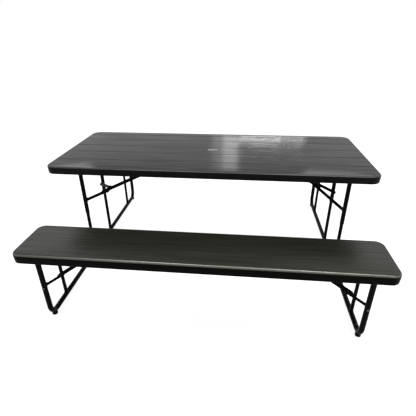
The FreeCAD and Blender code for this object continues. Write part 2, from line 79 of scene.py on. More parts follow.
class Row(Enum):
    """The two benches."""

    FRONT = "front"
    REAR = "rear"

    @property
    def sign(self) -> int:
        """Which way this bench lies along Y."""
        return -1 if self is Row.FRONT else 1


class Slot(Enum):
    """The record's material slots."""

    TABLE = "charcoal_top"
    BENCH = "dark_top"
    PLASTIC = "black_plastic"
    STEEL = "black_steel"
    RIVET = "bright_rivet"


class Zone(Enum):
    """The parts of a moulded top, by the order of its materials."""

    DECK = 0
    RIM = 1
    LIP = 2
    UNDERSIDE = 3


@dataclass(frozen=True)
class Layer:
    """One layer of noise in a finish: its form, its shading and the dents that it leaves.

    The stretch is its scale along each axis, and detail, rough and warp are the noise's octaves,
    roughness and distortion. The span is where its ramp starts and ends, the shade is the grey at
    the start, the weight is how much of the shading shows, and dent and depth are the bump's
    strength and its metres.
    """

    stretch: Point
    detail: float
    rough: float
    warp: float = 0.0
    span: Pair = (0.0, 1.0)
    shade: float = 1.0
    weight: float = 1.0
    dent: float = 0.0
    depth: float = 0.0


CLOUD = Layer((2.2, 7.0, 7.0), 3.0, 0.5, span=(0.35, 0.7), shade=0.82, weight=0.8)
BROAD = Layer((2.0, 32.0, 32.0), 3.0, 0.55, 0.4, (0.34, 0.64), 0.62, 0.8, dent=0.16, depth=0.002)
STREAK = Layer((4.0, 150.0, 150.0), 5.0, 0.62, 0.5, (0.28, 0.74), dent=0.28, depth=0.0006)
PORE = Layer((22.0, 820.0, 820.0), 2.0, 0.5, span=(0.36, 0.52), shade=0.62, weight=0.6,
             dent=0.25, depth=0.0003)
SHEEN = Layer((2.6, 95.0, 95.0), 4.0, 0.6, 0.3, (0.36, 0.66))
SHEEN_PEAK = 1.5  # the sheen's strongest streaks, against the finish's gloss
WEAR = Layer((9.0, 9.0, 9.0), 4.0, 0.6, span=(0.3, 0.75))
SKIN = Layer((1.0, 1.0, 1.0), 2.0, 0.5, dent=0.22, depth=0.0002)


class Graph:
    """A short way to wire one material's nodes."""

    def __init__(self, name: str) -> None:
        """Starts a material with an empty graph and one principled shader.

        Args:
            name: The material's name.
        """
        self.material = bpy.data.materials.new(name)
        self.material.use_nodes = True
        self.tree = self.material.node_tree
        self.tree.nodes.clear()
        self.shader = self.add("ShaderNodeBsdfPrincipled")
        output = self.add("ShaderNodeOutputMaterial")
        self.link(self.shader.outputs["BSDF"], output.inputs["Surface"])

    def add(self, kind: str, **values: object) -> bpy.types.Node:
        """Adds a node and sets its plain properties.

        Args:
            kind: The node's type.
            values: Properties of the node by name.

        Returns:
            The new node.
        """
        node = self.tree.nodes.new(kind)
        for name, value in values.items():
            setattr(node, name, value)
        return node

    def link(self, source: bpy.types.NodeSocket, target: bpy.types.NodeSocket) -> None:
        """Joins two sockets."""
        self.tree.links.new(source, target)

    def layer(self, layer: Layer, shift: Point = (0.0, 0.0, 0.0)) -> bpy.types.NodeSocket:
        """Samples a layer of noise in the object's own coordinates.

        Args:
            layer: The layer.
            shift: Offset, so that pieces differ.

        Returns:
            The factor socket.
        """
        coordinates = self.add("ShaderNodeTexCoord")
        mapping = self.add("ShaderNodeMapping")
        mapping.inputs["Scale"].default_value = layer.stretch
        mapping.inputs["Location"].default_value = shift
        node = self.add("ShaderNodeTexNoise")
        node.inputs["Scale"].default_value = 1.0
        node.inputs["Detail"].default_value = layer.detail
        node.inputs["Roughness"].default_value = layer.rough
        node.inputs["Distortion"].default_value = layer.warp
        self.link(coordinates.outputs["Object"], mapping.inputs["Vector"])
        self.link(mapping.outputs["Vector"], node.inputs["Vector"])
        return node.outputs["Fac"]

    def ramp(self, factor: bpy.types.NodeSocket, span: Pair, low: Colour,
             high: Colour) -> bpy.types.NodeSocket:
        """A ramp between two colours.

        Args:
            factor: What drives it.
            span: Where it starts and ends.
            low: The colour at its start.
            high: The colour at its end.

        Returns:
            The colour socket.
        """
        node = self.add("ShaderNodeValToRGB")
        for element, position, colour in zip(node.color_ramp.elements, span, (low, high)):
            element.position = position
            element.color = (*colour, 1.0)
        self.link(factor, node.inputs["Fac"])
        return node.outputs["Color"]

    def shaded(self, colour: bpy.types.NodeSocket, factor: bpy.types.NodeSocket,
               layer: Layer) -> bpy.types.NodeSocket:
        """Darkens a colour where a layer is low.

        Args:
            colour: The colour.
            factor: The layer's factor.
            layer: The layer.

        Returns:
            The colour socket.
        """
        tone = self.ramp(factor, layer.span, (layer.shade,) * 3, WHITE)
        node = self.add("ShaderNodeMix", data_type="RGBA", blend_type="MULTIPLY")
        node.inputs["Factor"].default_value = layer.weight
        self.link(colour, node.inputs[MIX_FIRST])
        self.link(tone, node.inputs[MIX_SECOND])
        return node.outputs[MIX_RESULT]

    def dented(self, factor: bpy.types.NodeSocket, layer: Layer,
               after: Optional[bpy.types.NodeSocket] = None) -> bpy.types.NodeSocket:
        """Dents the surface with a layer.

        Args:
            factor: The layer's factor.
            layer: The layer.
            after: The normal of the dents that come first.

        Returns:
            The normal socket.
        """
        node = self.add("ShaderNodeBump")
        node.inputs["Strength"].default_value = layer.dent
        node.inputs["Distance"].default_value = layer.depth
        self.link(factor, node.inputs["Height"])
        if after is not None:
            self.link(after, node.inputs["Normal"])
        return node.outputs["Normal"]

    def spread(self, factor: bpy.types.NodeSocket, low: float,
               high: float) -> bpy.types.NodeSocket:
        """Maps a factor to a range.

        Args:
            factor: A value from 0 to 1.
            low: The result at 0.
            high: The result at 1.

        Returns:
            The value socket.
        """
        node = self.add("ShaderNodeMapRange")
        node.inputs["To Min"].default_value = low
        node.inputs["To Max"].default_value = high
        self.link(factor, node.inputs["Value"])
        return node.outputs["Result"]

    def finish(self, colour: bpy.types.NodeSocket, rough: bpy.types.NodeSocket,
               normal: bpy.types.NodeSocket) -> bpy.types.Material:
        """Wires colour, roughness and normal into the shader.

        Args:
            colour: The base colour.
            rough: The roughness.
            normal: The normal.

        Returns:
            The finished material.
        """
        self.link(colour, self.shader.inputs["Base Color"])
        self.link(rough, self.shader.inputs["Roughness"])
        self.link(normal, self.shader.inputs["Normal"])
        return self.material


@dataclass(frozen=True)
class GrainFinish:
    """Satin moulded plastic with a wood grain pressed into it along X.

    The sheen runs in streaks, and dull is the weakest of them as a share of the strongest.
    """

    name: str
    dark: Colour
    light: Colour
    rough: Pair
    gloss: float
    dull: float
    shift: Point = (0.0, 0.0, 0.0)
    tint: Colour = WHITE

    def make(self) -> bpy.types.Material:
        """Builds the material.

        Returns:
            The wood-grain material.
        """
        g = Graph(self.name)
        cloud, broad, streak, pore, sheen = (
            g.layer(layer, self.shift) for layer in (CLOUD, BROAD, STREAK, PORE, SHEEN))
        colour = g.ramp(streak, STREAK.span, self.dark, self.light)
        for factor, layer in ((broad, BROAD), (cloud, CLOUD), (pore, PORE)):
            colour = g.shaded(colour, factor, layer)
        normal = None
        for factor, layer in ((broad, BROAD), (streak, STREAK), (pore, PORE)):
            normal = g.dented(factor, layer, normal)
        level = g.ramp(sheen, SHEEN.span, (self.dull,) * 3, WHITE)
        gloss = g.spread(level, 0.0, self.gloss * SHEEN_PEAK)
        g.link(gloss, g.shader.inputs["Specular IOR Level"])
        g.shader.inputs["Specular Tint"].default_value = (*self.tint, 1.0)
        return g.finish(colour, g.spread(streak, *self.rough), normal)


@dataclass(frozen=True)
class CoatFinish:
    """Powder coat, smooth moulded plastic or plating: one colour, a fine skin, a little wear."""

    name: str
    dark: Colour
    light: Colour
    rough: Pair
    skin: float
    gloss: float
    metal: float = 0.0
    tint: Colour = WHITE

    def make(self) -> bpy.types.Material:
        """Builds the material.

        Returns:
            The coat's material.
        """
        g = Graph(self.name)
        wear = g.layer(WEAR)
        skin = g.layer(replace(SKIN, stretch=(self.skin,) * 3))
        colour = g.ramp(wear, WEAR.span, self.dark, self.light)
        g.shader.inputs["Metallic"].default_value = self.metal
        g.shader.inputs["Specular IOR Level"].default_value = self.gloss
        g.shader.inputs["Specular Tint"].default_value = (*self.tint, 1.0)
        return g.finish(colour, g.spread(wear, *self.rough), g.dented(skin, SKIN))


OLIVE_SHEEN = (1.0, 1.02, 0.9)
TABLE_GRAIN = GrainFinish(
    "charcoal_wood_grain", dark=(0.006, 0.006, 0.0062), light=(0.034, 0.034, 0.0344),
    rough=(0.05, 0.14), gloss=0.05, dull=0.35)
BENCH_GRAIN = GrainFinish(
    "dark_wood_grain", dark=(0.0016, 0.0019, 0.0009), light=(0.0076, 0.0084, 0.0047),
    rough=(0.28, 0.44), gloss=0.108, dull=0.55, shift=(3.1, 1.7, 0.0), tint=OLIVE_SHEEN)
TABLE_RIM = CoatFinish(
    "smooth_table_rim", dark=(0.006, 0.006, 0.0062), light=(0.010, 0.010, 0.0102),
    rough=(0.40, 0.48), skin=900.0, gloss=0.36)
BENCH_RIM = CoatFinish(
    "smooth_bench_rim", dark=(0.0036, 0.0038, 0.0027), light=(0.0066, 0.0069, 0.005),
    rough=(0.40, 0.48), skin=900.0, gloss=1.0, tint=OLIVE_SHEEN)
# The lips: the tops' plastic, smooth and without grain. Their colour is darker than the decks' as
# painted shade on these sides, which face away from the lamps.
TABLE_LIP_PAINTED_SHADE = CoatFinish(
    "table_lip_painted_shade", dark=(0.003, 0.003, 0.0032), light=(0.0055, 0.0055, 0.0057),
    rough=(0.36, 0.48), skin=900.0, gloss=0.045)
BENCH_LIP_PAINTED_SHADE = CoatFinish(
    "bench_lip_painted_shade", dark=(0.0010, 0.0011, 0.0007), light=(0.0021, 0.0022, 0.0016),
    rough=(0.36, 0.48), skin=900.0, gloss=0.02)
# The underside: the tops' plastic. Its colour is lighter than the tops' as painted light, standing
# in for light that hardly reaches under the tops.
UNDERSIDE = CoatFinish(
    "underside_painted_light", dark=(0.022, 0.022, 0.0215), light=(0.042, 0.042, 0.041),
    rough=(0.42, 0.56), skin=420.0, gloss=0.3)
STEEL = CoatFinish(
    "black_powder_coat", dark=(0.0010, 0.0010, 0.0011), light=(0.0024, 0.0024, 0.0026),
    rough=(0.26, 0.38), skin=1400.0, gloss=0.03)
BRACE = CoatFinish(
    "matt_black_coat", dark=(0.0010, 0.0010, 0.0011), light=(0.0024, 0.0024, 0.0026),
    rough=(0.50, 0.62), skin=1400.0, gloss=0.02)
PLASTIC = CoatFinish(
    "black_moulded_plastic", dark=(0.0016, 0.0016, 0.0016), light=(0.0034, 0.0034, 0.0034),
    rough=(0.45, 0.6), skin=2200.0, gloss=0.05)
CAP = CoatFinish(
    "charcoal_cap", dark=(0.016, 0.016, 0.0162), light=(0.030, 0.030, 0.0303),
    rough=(0.16, 0.24), skin=1600.0, gloss=0.5)
RIVET = CoatFinish(
    "plated_rivet", dark=(0.05, 0.05, 0.048), light=(0.10, 0.10, 0.098),
    rough=(0.30, 0.45), skin=900.0, gloss=0.4, metal=1.0)
BRACE_PIECES = ("wishbone_pins", "wishbone_rod", "table_channel", "bench_rod", "bench_link")


@dataclass
class Palette:
    """The finishes of the whole object, made once."""

    made: dict[Slot, bpy.types.Material] = field(default_factory=dict)
    rims: dict[Slot, bpy.types.Material] = field(default_factory=dict)
    painted_shade_lips: dict[Slot, bpy.types.Material] = field(default_factory=dict)
    underside: Optional[bpy.types.Material] = None
    special: dict[str, bpy.types.Material] = field(default_factory=dict)

    def __post_init__(self) -> None:
        """Makes every finish."""
        choices = {Slot.TABLE: TABLE_GRAIN, Slot.BENCH: BENCH_GRAIN, Slot.PLASTIC: PLASTIC,
                   Slot.STEEL: STEEL, Slot.RIVET: RIVET}
        self.made = {slot: finish.make() for slot, finish in choices.items()}
        self.rims = {Slot.TABLE: TABLE_RIM.make(), Slot.BENCH: BENCH_RIM.make()}
        # The lips' finishes are darkened as painted shade.
        self.painted_shade_lips = {Slot.TABLE: TABLE_LIP_PAINTED_SHADE.make(), Slot.BENCH: BENCH_LIP_PAINTED_SHADE.make()}
        # The underside's finish is lightened as painted light.
        self.underside = UNDERSIDE.make()
        brace = BRACE.make()
        self.special = {"umbrella_cap": CAP.make()}
        self.special |= {kind: brace for kind in BRACE_PIECES}

    def dress(self, item: bpy.types.Object, slot: Slot) -> None:
        """Gives an object one finish.

        Args:
            item: The object.
            slot: Which finish it takes.
        """
        item.data.materials.clear()
        item.data.materials.append(self.made[slot])


def rounded_outline(half_x: float, half_y: float, corner: float, steps: int = 12) -> list[Pair]:
    """A rounded rectangle's outline, anticlockwise.

    Args:
        half_x: Half its length.
        half_y: Half its width.
        corner: Its corner radius.
        steps: Points in each corner.

    Returns:
        The outline's points.
    """
    points = []
    for k, (sx, sy) in enumerate(((1, 1), (-1, 1), (-1, -1), (1, -1))):
        for i in range(steps + 1):
            angle = math.pi / 2 * (k + i / steps)
            points.append((sx * (half_x - corner) + corner * math.cos(angle),
                           sy * (half_y - corner) + corner * math.sin(angle)))
    return points


def new_object(name: str, mesh: bmesh.types.BMesh, smooth: float = 40.0) -> bpy.types.Object:
    """Turns a finished mesh into a linked object.

    Args:
        name: The object's name.
        mesh: The mesh, which is freed.
        smooth: Edges flatter than this many degrees are shaded smooth.

    Returns:
        The object.
    """
    bmesh.ops.recalc_face_normals(mesh, faces=mesh.faces)
    data = bpy.data.meshes.new(name)
    mesh.to_mesh(data)
    mesh.free()
    data.set_sharp_from_angle(angle=math.radians(smooth))
    for face in data.polygons:
        face.use_smooth = True
    item = bpy.data.objects.new(name, data)
    bpy.context.scene.collection.objects.link(item)
    return item


def level_faces(mesh: bmesh.types.BMesh, level: float) -> list[bmesh.types.BMFace]:
    """The faces that lie flat at one level."""
    return [f for f in mesh.faces if all(abs(v.co.z - level) < TOUCH for v in f.verts)]


def cut(mesh: bmesh.types.BMesh, faces: list[bmesh.types.BMFace], place: Sequence[float],
        direction: Sequence[float]) -> None:
    """Cuts faces along a plane.

    Args:
        mesh: The mesh.
        faces: The faces to cut.
        place: A point on the plane.
        direction: The plane's normal.
    """
    edges = list({e for f in faces for e in f.edges})
    verts = list({v for f in faces for v in f.verts})
    bmesh.ops.bisect_plane(mesh, geom=faces + edges + verts, dist=TOUCH, plane_co=place,
                           plane_no=direction)


def bridge(mesh: bmesh.types.BMesh, first: Sequence[bmesh.types.BMVert],
           second: Sequence[bmesh.types.BMVert]) -> None:
    """Joins two closed rings with quads.

    Args:
        mesh: The mesh.
        first: One ring.
        second: The other ring, with as many points.
    """
    count = len(first)
    for i in range(count):
        j = (i + 1) % count
        mesh.faces.new((first[i], first[j], second[j], second[i]))


@dataclass
class MouldedTop:
    """A table or bench top: a flat deck, a drawn-in lip all round and a hollow underside.

    Draft and crease are in degrees. The finishes of rim and lip start at rim_from and lip_from, as
    shares of the edge's rounding. The lip's finish is smooth, ungrained plastic whose colour is
    darkened below the deck's as painted shade. A cell of the waffle gets a pocket only if its area
    is over the share full_cell of a whole one, and steep_share is how much of a pocket's depth its
    first, steeper wall takes.
    """

    node: str
    body: str
    slot: Slot
    corner: float
    tight_corner: float = 0.006
    deck: float = 0.024
    rim: float = 0.022
    edge_round: float = 0.009
    lip_round: float = 0.003
    inner_round: float = 0.004
    round_steps: int = 8
    draft: float = 3.0
    crease: float = 18.0
    hole: float = 0.0
    seams: tuple[float, ...] = ()
    seam_width: float = 0.007
    seam_depth: float = 0.0013
    rim_from: float = 0.02
    lip_from: float = 0.55
    zone_margin: float = 0.001
    cell: float = 0.092
    full_cell: float = 0.98
    rib: float = 0.014
    pocket: float = 0.007
    pocket_wall: float = 0.004
    steep_share: float = 0.7
    flat: tuple[FixingZone, ...] = ()

    def rings(self, thick: float) -> list[Pair]:
        """How the shell's rim is drawn in and how deep it goes, ring by ring.

        Args:
            thick: The shell's whole depth.

        Returns:
            Pairs of inset and depth below the top.
        """
        low = thick - self.lip_round
        drawn_in = math.tan(math.radians(self.draft)) * (low - self.edge_round)
        turns = [math.pi / 2 * i / self.round_steps for i in range(self.round_steps + 1)]
        rows = [(self.edge_round * (1 - math.sin(turn)), self.edge_round * (1 - math.cos(turn)))
                for turn in turns]
        rows += [(drawn_in + self.lip_round * (1 - math.cos(turn)),
                  low + self.lip_round * math.sin(turn)) for turn in turns]
        rows.append((self.rim - self.lip_round, thick))
        rows.append((self.rim, thick - self.lip_round))
        rows.append((self.rim, self.deck + self.inner_round))
        rows.append((self.rim + self.inner_round, self.deck))
        return rows

    def build(self, palette: Palette) -> None:
        """Makes the shell in its CAD solid's place.

        Args:
            palette: The finishes.
        """
        low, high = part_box(self.node)
        centre = (low + high) / 2
        half_x = (high.x - low.x) / 2
        half_y = (high.y - low.y) / 2
        mesh = bmesh.new()
        loops = []
        for inset, depth in self.rings(high.z - low.z):
            corner = max(self.corner - inset, self.tight_corner)
            loops.append([mesh.verts.new((centre.x + x, centre.y + y, high.z - depth))
                          for x, y in rounded_outline(half_x - inset, half_y - inset, corner)])
        for upper, lower in zip(loops, loops[1:]):
            bridge(mesh, upper, lower)
        mesh.faces.new(list(reversed(loops[-1])))
        middle = self.press_pockets(mesh, high.z - self.deck, half_x - self.rim,
                                    half_y - self.rim, centre)
        if self.hole:
            self.open_round_hole(mesh, loops[0], middle, centre)
        else:
            mesh.faces.new(loops[0])
        self.press_seams(mesh, high.z)
        item = new_object(self.node + "_shell", mesh, self.crease)
        self.dress(item, palette, centre, high - centre)
        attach(item, self.body)
        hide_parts(self.node)
        LOG.info("%s: moulded shell", self.node)

    def dress(self, item: bpy.types.Object, palette: Palette, centre: Vector,
              half: Vector) -> None:
        """Gives each part of the shell its finish.

        Args:
            item: The shell.
            palette: The finishes.
            centre: The middle of the top.
            half: Half its length, width and depth.
        """
        palette.dress(item, self.slot)
        for material in (palette.rims[self.slot], palette.painted_shade_lips[self.slot], palette.underside):
            item.data.materials.append(material)
        for face in item.data.polygons:
            face.material_index = self.zone(face.center - centre, half).value

    def zone(self, at: Vector, half: Vector) -> Zone:
        """Which part of the top a face belongs to.

        Args:
            at: The face's middle, from the middle of the top.
            half: Half the top's length, width and depth.

        Returns:
            The part.
        """
        depth = half.z - at.z
        edge = self.rim - self.zone_margin
        inside = abs(at.x) < half.x - edge and abs(at.y) < half.y - edge
        if inside and depth > self.deck / 2:
            return Zone.UNDERSIDE
        if inside or depth < self.edge_round * self.rim_from + self.seam_depth:
            return Zone.DECK
        return Zone.LIP if depth > self.edge_round * self.lip_from else Zone.RIM

    def press_seams(self, mesh: bmesh.types.BMesh, top: float) -> None:
        """Presses the board seams into the deck.

        Args:
            mesh: The mesh.
            top: The deck's level.
        """
        for seam in self.seams:
            for side in (-self.seam_width / 2, 0.0, self.seam_width / 2):
                cut(mesh, level_faces(mesh, top), (0, seam + side, 0), (0, 1, 0))
            for vert in mesh.verts:
                if abs(vert.co.y - seam) < TOUCH and abs(vert.co.z - top) < TOUCH:
                    vert.co.z -= self.seam_depth

    def press_pockets(self, mesh: bmesh.types.BMesh, level: float, half_x: float, half_y: float,
                      centre: Vector) -> list[bmesh.types.BMFace]:
        """Presses a waffle of shallow pockets into the underside of the deck.

        Args:
            mesh: The mesh, with the underside as one face.
            level: The underside's level.
            half_x: Half the underside's length.
            half_y: Half its width.
            centre: The middle of the top.

        Returns:
            The cells over the middle of the top, which take the umbrella hole.
        """
        pitch = []
        for axis, half in enumerate((half_x, half_y)):
            count = 2 * round(half / self.cell) + 1
            pitch.append(2 * half / count)
            direction = (1, 0, 0) if axis == 0 else (0, 1, 0)
            for k in range(1, count):
                place = [centre.x, centre.y, 0.0]
                place[axis] += k * pitch[axis] - half
                cut(mesh, level_faces(mesh, level), place, direction)
        middle, cells = [], []
        for face in level_faces(mesh, level):
            at = face.calc_center_median()
            if abs(at.x - centre.x) < pitch[0] / 2 and abs(at.y - centre.y) < pitch[1] / 2:
                middle.append(face)
            elif (face.calc_area() > self.full_cell * pitch[0] * pitch[1]
                  and not self.kept_flat(at, pitch)):
                cells.append(face)
        bmesh.ops.recalc_face_normals(mesh, faces=mesh.faces)
        steep = self.pocket * self.steep_share
        for thickness, depth in ((self.rib / 2, 0.0), (self.pocket_wall, steep),
                                 (self.pocket_wall, self.pocket - steep)):
            bmesh.ops.inset_individual(mesh, faces=cells, thickness=thickness,
                                       use_even_offset=True)
            bmesh.ops.translate(mesh, verts=list({v for f in cells for v in f.verts}),
                                vec=(0.0, 0.0, depth))
        return middle

    def kept_flat(self, at: Vector, pitch: Sequence[float]) -> bool:
        """Whether a cell lies where a bracket is fixed.

        Args:
            at: The cell's middle.
            pitch: The cells' length and width.

        Returns:
            True if the cell stays flat.
        """
        return any(abs(at.x - x) < half_x + pitch[0] / 2 and abs(at.y - y) < half_y + pitch[1] / 2
                   for x, y, half_x, half_y in self.flat)

    def open_round_hole(self, mesh: bmesh.types.BMesh, top: list[bmesh.types.BMVert],
                        middle: list[bmesh.types.BMFace], centre: Vector) -> None:
        """Closes both faces of the deck round the umbrella hole.

        Args:
            mesh: The mesh.
            top: The deck's upper ring.
            middle: The underside's cells over the middle.
            centre: The hole's middle.
        """
        rim = []
        for vert in top:
            away = Vector((vert.co.x - centre.x, vert.co.y - centre.y, 0.0)).normalized()
            away *= self.hole
            rim.append(mesh.verts.new((centre.x + away.x, centre.y + away.y, vert.co.z)))
        bridge(mesh, rim, top)
        lower = [mesh.verts.new((v.co.x, v.co.y, v.co.z - self.deck)) for v in rim]
        bridge(mesh, rim, lower)
        border = [e for f in middle for e in f.edges]
        bmesh.ops.delete(mesh, geom=middle, context="FACES_ONLY")
        count = len(lower)
        ring = [mesh.edges.get((lower[i], lower[(i + 1) % count])) for i in range(count)]
        bmesh.ops.bridge_loops(mesh, edges=[e for e in border if e.is_valid] + ring)


def swept_ring(mesh: bmesh.types.BMesh, path: Sequence[Vector], radius: Sequence[float],
               steps: int = 8) -> None:
    """Sweeps a small circle round a closed path.

    Args:
        mesh: The mesh that takes the ring.
        path: The path's points.
        radius: The circle's radius at each point.
        steps: Points in the circle.
    """
    count = len(path)
    middle = sum(path, Vector()) / count
    turns = [2 * math.pi * k / steps for k in range(steps)]
    rings = []
    for i, point in enumerate(path):
        along = (path[(i + 1) % count] - path[i - 1]).normalized()
        out = point - middle
        out = (out - along * out.dot(along)).normalized()
        up = along.cross(out)
        spokes = [out * math.cos(turn) + up * math.sin(turn) for turn in turns]
        rings.append([mesh.verts.new(point + spoke * radius[i]) for spoke in spokes])
    for i, ring in enumerate(rings):
        bridge(mesh, ring, rings[(i + 1) % count])


@dataclass(frozen=True)
class Tube:
    """A straight run of tube: a point on its axis, the axis' direction and the tube's radius."""

    point: Vector
    axis: Vector
    radius: float

    def weld_path(self, through: "Tube", side: int, lift: float, steps: int = 64) -> list[Vector]:
        """The closed line where this tube's surface enters another tube.

        Args:
            through: The tube that it enters.
            side: Which side of that tube, along this tube's axis.
            lift: How far the line stands off the corner.
            steps: Points in the line.

        Returns:
            The line's points.
        """
        across = self.axis.cross(through.axis)
        radius = self.radius + lift
        start = self.point + self.axis * (through.point - self.point).dot(self.axis)
        path = []
        for i in range(steps):
            angle = 2 * math.pi * i / steps
            off = radius * math.cos(angle)
            rise = math.sqrt(max(through.radius ** 2 - off ** 2, 0.0)) + lift
            path.append(start + across * off + through.axis * radius * math.sin(angle)
                        + self.axis * side * rise)
        return path


@dataclass
class WeldBeads:
    """The weld beads of one end: legs on the floor bar, hinge bars at the legs."""

    end: End
    size: float = 0.0018
    lift: float = 0.0006
    ripples: int = 16
    ripple: float = 0.16

    def tube(self, node: str, axis: Vector, sign: int = 0) -> Tube:
        """A node's tube, or one of a pair of uprights in a node.

        Args:
            node: The node.
            axis: The tube's direction.
            sign: Which of the pair, along Y; 0 where the node is one tube.

        Returns:
            The tube.
        """
        low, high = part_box(node)
        centre = (low + high) / 2
        radius = (high.x - low.x) / 2
        if sign:
            centre.y = high.y - radius if sign > 0 else low.y + radius
        return Tube(centre, axis, radius)

    def floor_bar(self) -> Tube:
        """The end frame's floor bar.

        Returns:
            The bar, as a tube along Y.
        """
        low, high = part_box(f"frame_tube_{self.end.value}")
        radius = (high.x - low.x) / 2
        point = Vector(((low.x + high.x) / 2, 0.0, low.z + radius))
        return Tube(point, Vector((0.0, 1.0, 0.0)), radius)

    def add(self, mesh: bmesh.types.BMesh, path: Sequence[Vector]) -> None:
        """Lays one rippled bead along a line.

        Args:
            mesh: The mesh that takes it.
            path: The line's points.
        """
        wave = self.ripples * 2 * math.pi / len(path)
        swept_ring(mesh, path, [self.size * (1.0 + self.ripple * math.sin(wave * i))
                                for i in range(len(path))])

    def build(self, palette: Palette) -> None:
        """Makes the beads of this end, on the end frame and on the table's folding legs.

        Args:
            palette: The finishes.
        """
        up, along = Vector((0.0, 0.0, 1.0)), Vector((0.0, 1.0, 0.0))
        end, bar = self.end.value, self.floor_bar()
        frame_mesh, leg_mesh = bmesh.new(), bmesh.new()
        table_bar = self.tube(f"table_hinge_bar_{end}", along)
        for row in Row:
            stub = self.tube(f"table_stubs_{end}", up, row.sign)
            inner = self.tube(f"bench_inner_leg_{row.value}_{end}", up)
            hinge_bar = self.tube(f"bench_hinge_bar_{row.value}_{end}", along)
            for leg in (stub, inner):
                self.add(frame_mesh, leg.weld_path(bar, 1, self.lift))
            self.add(frame_mesh, inner.weld_path(hinge_bar, -1, self.lift))
            upright = self.tube(f"table_upright_{end}_{row.value}", up)
            for side in (-1, 1):
                self.add(leg_mesh, table_bar.weld_path(upright, side, self.lift))
        for body, mesh in ((f"frame_{end}", frame_mesh), (f"table_leg_{end}", leg_mesh)):
            item = new_object(f"{body}_weld_beads", mesh)
            palette.dress(item, Slot.STEEL)
            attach(item, body)
            LOG.info("%s: weld beads", body)


@dataclass
class PadRivets:
    """The domed rivets on top of one floor bar, beside its two foot pads."""

    end: End
    from_pad: float = 0.042
    radius: float = 0.0055
    height: float = 0.0026
    sunk: float = 0.0012
    rings: int = 5
    steps: int = 24

    def dome(self, mesh: bmesh.types.BMesh, base: Vector) -> None:
        """Adds one rivet head, closed below.

        Args:
            mesh: The mesh that takes it.
            base: The middle of the head's flat side.
        """
        turns = [2 * math.pi * k / self.steps for k in range(self.steps)]
        loops = [[mesh.verts.new(base + Vector((math.cos(turn), math.sin(turn), 0.0)) * self.radius)
                  for turn in turns]]
        mesh.faces.new(list(reversed(loops[0])))
        for i in range(self.rings):
            angle = math.pi / 2 * i / self.rings
            lift = Vector((0.0, 0.0, self.sunk + self.height * math.sin(angle)))
            loops.append([mesh.verts.new(base + (vert.co - base) * math.cos(angle) + lift)
                          for vert in loops[0]])
        for lower, upper in zip(loops, loops[1:]):
            bridge(mesh, lower, upper)
        mesh.faces.new(loops[-1])

    def build(self, palette: Palette) -> None:
        """Makes this end's rivets.

        Args:
            palette: The finishes.
        """
        bar_low, bar_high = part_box(f"frame_tube_{self.end.value}")
        pad_low, pad_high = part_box(f"foot_pads_{self.end.value}")
        middle, tube = (bar_low.x + bar_high.x) / 2, bar_high.x - bar_low.x
        reach = pad_high.y - (pad_high.x - pad_low.x) / 2 - self.from_pad
        mesh = bmesh.new()
        for row in Row:
            self.dome(mesh, Vector((middle, row.sign * reach, bar_low.z + tube - self.sunk)))
        item = new_object(f"pad_rivets_{self.end.value}", mesh)
        palette.dress(item, Slot.RIVET)
        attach(item, f"frame_{self.end.value}")
        LOG.info("pad_rivets_%s: two rivet heads", self.end.value)


@dataclass
class DressedNodes:
    """Pieces that keep their CAD solids and take the finish of their slot."""

    nodes: dict[str, bpy.types.Object]
    record: dict

    def dress(self, palette: Palette, skip: Iterable[str]) -> None:
        """Gives every remaining node its finish.

        Args:
            palette: The finishes.
            skip: Nodes that other meshes stand in for.
        """
        slots = {entry["node"]: Slot(entry["material_slot"]) for entry in self.record["subparts"]}
        for name in sorted(set(self.nodes) - set(skip)):
            item = self.nodes[name]
            palette.dress(item, slots[name])
            for kind, material in palette.special.items():
                if name.startswith(kind):
                    item.data.materials[0] = material
            LOG.info("%s: CAD solid, %s", name, slots[name].value)


@dataclass(frozen=True)
class Lamp:
    """A soft rectangular lamp: its place, its aim, its width and height, and its watts."""

    name: str
    place: Point
    aim: Point
    size: Pair
    power: float

    def hang(self) -> None:
        """Adds the lamp to the scene."""
        data = bpy.data.lights.new(self.name, "AREA")
        data.shape = "RECTANGLE"
        data.size, data.size_y = self.size
        data.energy = self.power
        item = bpy.data.objects.new(self.name, data)
        item.location = self.place
        direction = Vector(self.aim) - Vector(self.place)
        item.rotation_euler = direction.to_track_quat("-Z", "Y").to_euler()
        bpy.context.scene.collection.objects.link(item)


TABLE_MIDDLE = (0.0, 0.0, 0.75)
TABLE_RIGHT = (0.3, 0.0, 0.75)
LAMPS = (
    Lamp("overhead", place=(0.0, 0.8, 3.4), aim=(0.0, 0.0, 0.5), size=(3.2, 2.0), power=50.0),
    Lamp("strip_left", place=(-0.76, -0.82, 3.0), aim=(-0.76, -0.82, 0.0), size=(0.74, 0.30),
         power=56.0),
    Lamp("strip_right", place=(1.23, -0.82, 3.0), aim=(1.23, -0.82, 0.0), size=(0.90, 0.30),
         power=76.0),
    Lamp("back_left", place=(-3.6, 3.0, 3.2), aim=(-0.6, -0.7, 0.45), size=(2.4, 1.4),
         power=29.0),
    Lamp("back_right", place=(2.4, 3.0, 3.2), aim=(0.6, -0.7, 0.45), size=(2.6, 1.4),
         power=34.0),
    Lamp("window", place=(-0.08, 3.0, 1.85), aim=TABLE_MIDDLE, size=(0.40, 0.92), power=1.1),
    Lamp("window_pane", place=(0.0, 3.01, 1.85), aim=TABLE_MIDDLE, size=(0.24, 0.92), power=1.5),
    Lamp("window_strip", place=(0.44, 3.02, 1.475), aim=TABLE_RIGHT, size=(0.62, 0.085),
         power=2.1),
    Lamp("window_fade", place=(0.93, 3.03, 1.465), aim=TABLE_RIGHT, size=(0.36, 0.06),
         power=0.75),
)


